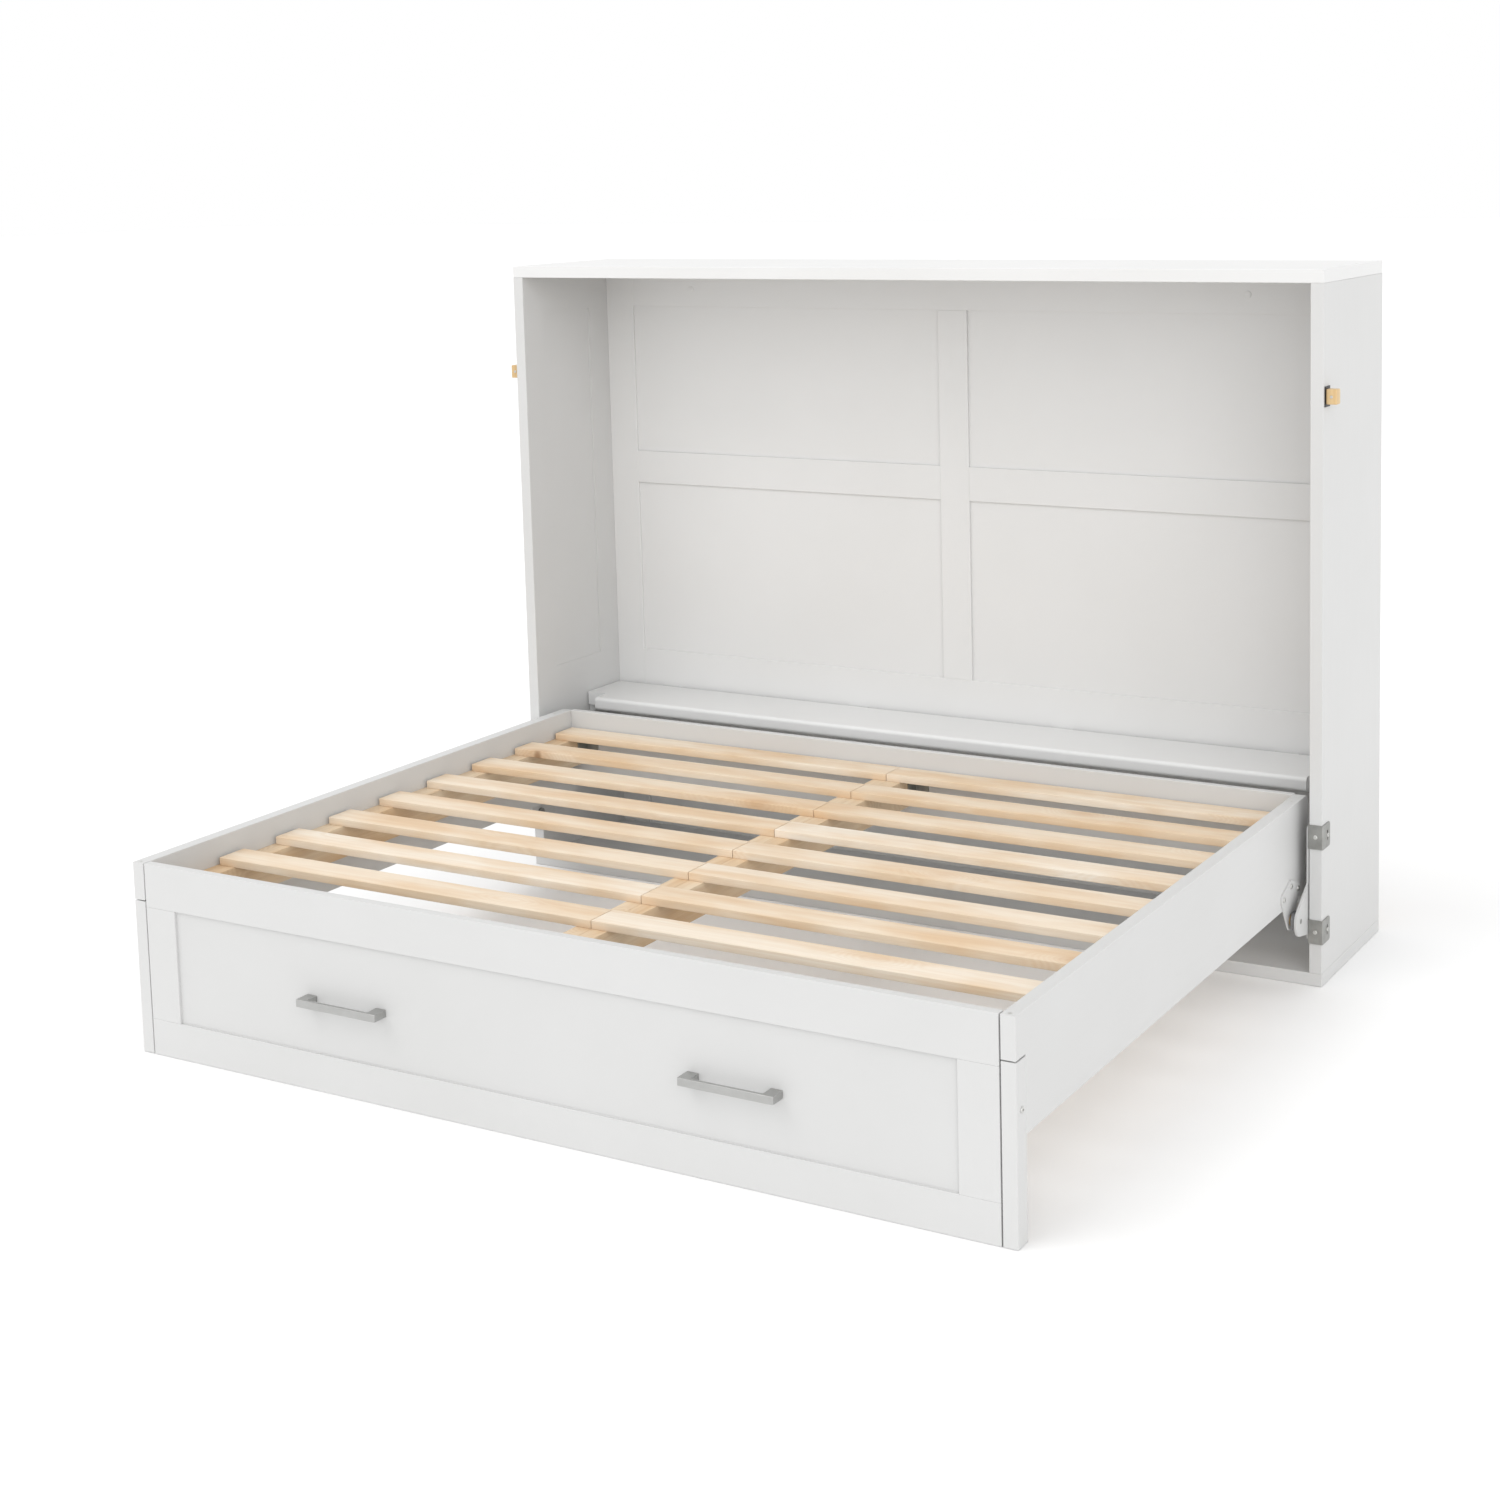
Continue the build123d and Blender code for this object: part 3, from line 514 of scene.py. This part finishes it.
def slat_tree():
    """Sweep one eased section into a slat, lay it on every point and number each one's board."""
    tree, given, out = new_tree(
        "slats",
        [
            ("Length", "Float", 1.0), ("Width", "Float", 0.07), ("Thickness", "Float", 0.018),
            ("Rounding", "Float", 0.004), ("Seed", "Int", 0), ("Material", "Material", None),
        ],
    )
    nodes, link = tree.nodes, tree.links.new
    section = nodes.new("GeometryNodeCurvePrimitiveQuadrilateral")
    link(given.outputs["Width"], section.inputs["Width"])
    link(given.outputs["Thickness"], section.inputs["Height"])
    rounded = nodes.new("GeometryNodeFilletCurve")
    rounded.mode = "POLY"
    rounded.inputs["Count"].default_value = 4
    link(section.outputs["Curve"], rounded.inputs["Curve"])
    link(given.outputs["Rounding"], rounded.inputs["Radius"])
    half = nodes.new("ShaderNodeMath")
    half.operation = "MULTIPLY"
    half.inputs[1].default_value = 0.5
    link(given.outputs["Length"], half.inputs[0])
    ends = []
    for sign in (-1.0, 1.0):
        signed = nodes.new("ShaderNodeMath")
        signed.operation = "MULTIPLY"
        signed.inputs[1].default_value = sign
        link(half.outputs["Value"], signed.inputs[0])
        place = nodes.new("ShaderNodeCombineXYZ")
        link(signed.outputs["Value"], place.inputs["X"])
        ends.append(place)
    line = nodes.new("GeometryNodeCurvePrimitiveLine")
    link(ends[0].outputs["Vector"], line.inputs["Start"])
    link(ends[1].outputs["Vector"], line.inputs["End"])
    steps = nodes.new("GeometryNodeResampleCurve")
    steps.inputs["Count"].default_value = 9
    link(line.outputs["Curve"], steps.inputs["Curve"])
    sweep = nodes.new("GeometryNodeCurveToMesh")
    sweep.inputs["Fill Caps"].default_value = True
    link(steps.outputs["Curve"], sweep.inputs["Curve"])
    link(rounded.outputs["Curve"], sweep.inputs["Profile Curve"])
    lay = nodes.new("GeometryNodeInstanceOnPoints")
    link(given.outputs["Geometry"], lay.inputs["Points"])
    link(sweep.outputs["Mesh"], lay.inputs["Instance"])
    lot = nodes.new("FunctionNodeRandomValue")
    lot.data_type = "FLOAT"
    link(given.outputs["Seed"], lot.inputs["Seed"])
    mark = nodes.new("GeometryNodeStoreNamedAttribute")
    mark.data_type = "FLOAT"
    mark.domain = "INSTANCE"
    mark.inputs["Name"].default_value = "board_lot"
    link(lay.outputs["Instances"], mark.inputs["Geometry"])
    link([s for s in lot.outputs if s.type == "VALUE" and s.enabled][0], mark.inputs["Value"])
    real = nodes.new("GeometryNodeRealizeInstances")
    link(mark.outputs["Geometry"], real.inputs["Geometry"])
    paint = nodes.new("GeometryNodeSetMaterial")
    link(real.outputs["Geometry"], paint.inputs["Geometry"])
    link(given.outputs["Material"], paint.inputs["Material"])
    link(paint.outputs["Geometry"], out.inputs["Geometry"])
    return tree


slat_rows = [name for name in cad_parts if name.startswith("slat_row_")]
slat_low, slat_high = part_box(slat_rows[0])
slat_gap = 0.001
slat_length = slat_high.x - slat_gap
slat_points = []
for row in slat_rows:
    row_low, row_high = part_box(row)
    for side in (-1, 1):
        slat_points.append(
            (
                side * (slat_gap + slat_length / 2),
                (row_low.y + row_high.y) / 2,
                (row_low.z + row_high.z) / 2,
            )
        )
slat_seed = bpy.data.meshes.new("slat_points")
slat_seed.from_pydata(slat_points, [], [])
slat_pine = pine("slat_pine", "X", (0.85, 0.78, 0.68), (0.77, 0.65, 0.51))
slats = grow(
    "slats",
    slat_seed,
    slat_tree(),
    {
        "Length": slat_length,
        "Width": slat_high.y - slat_low.y,
        "Thickness": slat_high.z - slat_low.z,
        "Rounding": 0.0015,
        "Seed": 11,
        "Material": slat_pine,
    },
    "bed_frame",
)
smooth_by_angle(slats)
# The side faces take a darker copy of the pine, painted shade against the front light, and are
# rougher than the tops.
slat_side_shade = pine("slat_side_shade", "X", (0.70, 0.58, 0.43), (0.58, 0.44, 0.30), rough=0.7)
slats.data.materials.append(slat_side_shade)
shaded_side_limit = 0.5
# Faces that stand on edge get the painted shade.
for face in slats.data.polygons:
    if abs(face.normal.z) < shaded_side_limit:
        face.material_index = 1
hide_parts(*slat_rows)


# ---- Screws ---------------------------------------------------------------------------------
# Steel socket screws, turned and bright zinc plated: countersunk ones flush in the tops of the
# boards, domed ones on the steel and the side blocks. Turned caps hide the wall bolts.
bright_zinc = metal("bright_zinc", (0.66, 0.66, 0.64), 0.30)
rim = 24


def round_ring(radius, height):
    """Points of a circle about Z."""
    spin = [2 * math.pi * k / rim for k in range(rim)]
    return [(radius * math.cos(angle), radius * math.sin(angle), height) for angle in spin]


def socket_ring(across, height):
    """Points of a hexagon about Z, as many as the circle has, so that the two can be joined."""
    ring = []
    for k in range(rim):
        angle = 2 * math.pi * k / rim
        within = (angle % (math.pi / 3)) - math.pi / 6
        reach = across * math.cos(math.pi / 6) / math.cos(within)
        ring.append((reach * math.cos(angle), reach * math.sin(angle), height))
    return ring


def turned_head(name, outlines):
    """A head skinned over its outlines from the seat up, and closed at both ends."""
    shape = bmesh.new()
    rings = [[shape.verts.new(point) for point in outline] for outline in outlines]
    for lower, upper in zip(rings, rings[1:]):
        for k in range(rim):
            shape.faces.new((lower[k], lower[(k + 1) % rim], upper[(k + 1) % rim], upper[k]))
    shape.faces.new(rings[-1])
    shape.faces.new(list(reversed(rings[0])))
    bmesh.ops.recalc_face_normals(shape, faces=shape.faces)
    mesh = bpy.data.meshes.new(name)
    shape.to_mesh(mesh)
    shape.free()
    holder = bpy.data.objects.new(name, mesh)
    scene.collection.objects.link(holder)
    return holder


def socket_head(name, dome, depth, across=0.42):
    """A screw head 2 units across with a six-sided socket, standing along +Z from its seat."""
    profile = [(1.0, 0.0), (0.98, dome * 0.55), (0.82, dome * 0.92), (0.58, dome)]
    skin = [round_ring(radius, height) for radius, height in profile]
    skin += [socket_ring(across, height) for height in (dome, dome - depth)]
    return turned_head(name, skin)


def screw_tree():
    """Set one head on every point, standing along the point's own direction."""
    tree, given, out = new_tree(
        "screws",
        [("Head", "Object", None), ("Radius", "Float", 0.004), ("Material", "Material", None)],
    )
    nodes, link = tree.nodes, tree.links.new
    head = nodes.new("GeometryNodeObjectInfo")
    link(given.outputs["Head"], head.inputs["Object"])
    outward = nodes.new("GeometryNodeInputNamedAttribute")
    outward.data_type = "FLOAT_VECTOR"
    outward.inputs["Name"].default_value = "outward"
    stand = nodes.new("FunctionNodeAlignEulerToVector")
    stand.axis = "Z"
    link(outward.outputs["Attribute"], stand.inputs["Vector"])
    place = nodes.new("GeometryNodeInstanceOnPoints")
    link(given.outputs["Geometry"], place.inputs["Points"])
    link(head.outputs["Geometry"], place.inputs["Instance"])
    link(stand.outputs["Rotation"], place.inputs["Rotation"])
    link(given.outputs["Radius"], place.inputs["Scale"])
    real = nodes.new("GeometryNodeRealizeInstances")
    link(place.outputs["Instances"], real.inputs["Geometry"])
    paint = nodes.new("GeometryNodeSetMaterial")
    link(real.outputs["Geometry"], paint.inputs["Geometry"])
    link(given.outputs["Material"], paint.inputs["Material"])
    link(paint.outputs["Geometry"], out.inputs["Geometry"])
    return tree


flat_head = socket_head("flat_head", dome=0.12, depth=0.30)
dome_head = socket_head("dome_head", dome=0.48, depth=0.34)
screws = screw_tree()


def drive(name, spots, head, radius, body, material=bright_zinc):
    """Drive a screw, or press a cap, at every (place, outward) spot."""
    mesh = bpy.data.meshes.new(name + "_points")
    mesh.from_pydata([place for place, outward in spots], [], [])
    directions = mesh.attributes.new("outward", "FLOAT_VECTOR", "POINT")
    directions.data.foreach_set("vector", [c for place, outward in spots for c in outward])
    piece = grow(name, mesh, screws, {"Head": head, "Radius": radius, "Material": material}, body)
    smooth_by_angle(piece, 30)
    return piece


up, forward = (0, 0, 1), (0, -1, 0)
flush = 0.00035
top_low, top_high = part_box("top_board")
panel_low, panel_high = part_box("right_side_panel")
panel_middle = (panel_low.x + panel_high.x) / 2
side_screws_at = (0.030, 0.155, 0.285, 0.410)
back_screws_at = (-0.54, 0, 0.54)
back_screw_inset = 0.021
cabinet_spots = [
    ((side * panel_middle, top_low.y + offset, top_high.z - flush), up)
    for side in (-1, 1)
    for offset in side_screws_at
]
cabinet_spots += [
    ((x, top_high.y - back_screw_inset, top_high.z - flush), up) for x in back_screws_at
]
cabinet_flush = drive("cabinet_flush_screws", cabinet_spots, flat_head, 0.0040, "cabinet")
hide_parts("cabinet_screws")

bracket_screw_inset = 0.032
bracket_spots = []
for tier in ("upper", "lower"):
    bracket_low, bracket_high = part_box(tier + "_right_edge_bracket")
    height = (bracket_low.z + bracket_high.z) / 2
    inset = top_low.y + bracket_screw_inset
    for side in (-1, 1):
        bracket_spots.append(((side * bracket_high.x, inset, height), (side, 0, 0)))
        bracket_spots.append(((side * panel_middle, bracket_low.y, height), forward))
drive("bracket_screws", bracket_spots, dome_head, 0.0050, "cabinet")

block_low, block_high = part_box("right_side_block")
block_middle = (block_low + block_high) / 2
block_spots = [((side * block_middle.x, block_low.y, block_middle.z), forward) for side in (-1, 1)]
drive("block_screws", block_spots, dome_head, 0.0035, "cabinet")

rail_low, rail_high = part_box("right_side_rail")
rear_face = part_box("rear_rail")[0].y
rail_middle = (rail_low.x + rail_high.x) / 2
foot_screw_inset, rear_screw_inset = 0.010, 0.053
rail_spots = [
    ((side * rail_middle, y, rail_high.z - flush), up)
    for side in (-1, 1)
    for y in (rail_low.y + foot_screw_inset, rear_face - rear_screw_inset)
]
rail_screws = drive("rail_screws", rail_spots, flat_head, 0.0040, "bed_frame")
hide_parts("bed_screws")

leg_low, leg_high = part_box("right_leg")
plate_low, plate_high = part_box("right_pivot_plate")
leg_middle = (leg_low.y + leg_high.y) / 2
plate_middle = (plate_low.y + plate_high.y) / 2
leg_bolt_height = 0.250
plate_bolts_at = ((-0.048, 0.028), (0.0, 0.046), (0.048, 0.028))
bolt_spots = [
    ((side * plate_high.x, plate_middle + y, rail_low.z + z), (side, 0, 0))
    for side in (-1, 1)
    for y, z in plate_bolts_at
]
bolt_spots += [((side * rail_high.x, leg_middle, leg_bolt_height), (side, 0, 0)) for side in (-1, 1)]
drive("frame_bolts", bolt_spots, dome_head, 0.0060, "bed_frame")

wall_bolts_at, wall_bolt_inset = (-0.8, 0.8), 0.050
cap_rows = (
    ("back_top_rail", top_low.z - wall_bolt_inset),
    ("back_sheet", panel_low.z + wall_bolt_inset),
)
cap_spots = [((x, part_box(board)[0].y, z), forward) for x in wall_bolts_at for board, z in cap_rows]
cap_profile = [(1.0, 0.0), (1.0, 0.10), (0.93, 0.20), (0.62, 0.27), (0.3, 0.30)]
cap_head = turned_head("cap_head", [round_ring(radius, height) for radius, height in cap_profile])
# The caps take the whiter, painted-light lacquer of the back so that they match it.
drive("wall_bolt_caps", cap_spots, cap_head, 0.0085, "cabinet", painted_light_lacquer["X"])
for template in (flat_head, dome_head, cap_head):
    bpy.data.objects.remove(template)


# ---- Room -----------------------------------------------------------------------------------
# A plain white studio floor with a bright even surround, with one broad soft light from high on
# the left and a flatter one from the front, as furniture is usually shown.
floor_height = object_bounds()[0].z - 0.0005
floor_reach = 60.0


def studio_floor():
    """Pale, matt and barely mottled."""
    material, tree, shader, add = new_material("studio_floor")
    grain = add("TexNoise", Scale=3.0, Detail=2.0)
    place = add("TexCoord")
    tone = add("ValToRGB")
    tone.color_ramp.elements[0].color = (0.90, 0.90, 0.90, 1)
    tone.color_ramp.elements[1].color = (0.93, 0.93, 0.93, 1)
    tree.links.new(place.outputs["Object"], grain.inputs["Vector"])
    tree.links.new(grain.outputs["Fac"], tone.inputs["Fac"])
    tree.links.new(tone.outputs["Color"], shader.inputs["Base Color"])
    shader.inputs["Roughness"].default_value = 0.85
    return material


floor_mesh = bpy.data.meshes.new("studio_floor")
floor_corners = [
    (x * floor_reach, y * floor_reach, floor_height) for x, y in ((-1, -1), (1, -1), (1, 1), (-1, 1))
]
floor_mesh.from_pydata(floor_corners, [], [(0, 1, 2, 3)])
floor = bpy.data.objects.new("studio_floor", floor_mesh)
scene.collection.objects.link(floor)
floor.data.materials.append(studio_floor())

surround = bpy.data.worlds.new("surround")
scene.world = surround
surround.use_nodes = True
background = surround.node_tree.nodes["Background"]
background.inputs["Color"].default_value = (1.0, 1.0, 1.0, 1)
background.inputs["Strength"].default_value = 1.0
scene.view_settings.view_transform = "Standard"


def soft_sun(name, towards, power, spread):
    """Broad, even light that falls along one direction."""
    lamp = bpy.data.lights.new(name, "SUN")
    lamp.energy = power
    lamp.angle = math.radians(spread)
    holder = bpy.data.objects.new(name, lamp)
    holder.rotation_euler = Vector(towards).to_track_quat("-Z", "Y").to_euler()
    scene.collection.objects.link(holder)


soft_sun("key_light", towards=(0.35, 0.42, -0.85), power=0.62, spread=38)
soft_sun("front_fill", towards=(-0.60, 0.70, -0.38), power=0.80, spread=50)

lens_camera = bpy.data.cameras.new("camera")
lens_camera.sensor_width = 36.0
lens_camera.lens = 56.04
lens_camera.shift_x = -0.08
lens_camera.shift_y = -0.20
lens_camera.dof.use_dof = False
camera = bpy.data.objects.new("camera", lens_camera)
level = 90
tilt, roll, swing = (math.radians(angle) for angle in (level - 7.02, -1.2, 29.15))
turn = Matrix.Rotation(swing, 4, "Z") @ Matrix.Rotation(tilt, 4, "X") @ Matrix.Rotation(roll, 4, "Z")
stand = Matrix.Translation((2.735, -4.435, 1.888))
camera.matrix_world = stand @ turn
scene.collection.objects.link(camera)
scene.camera = camera
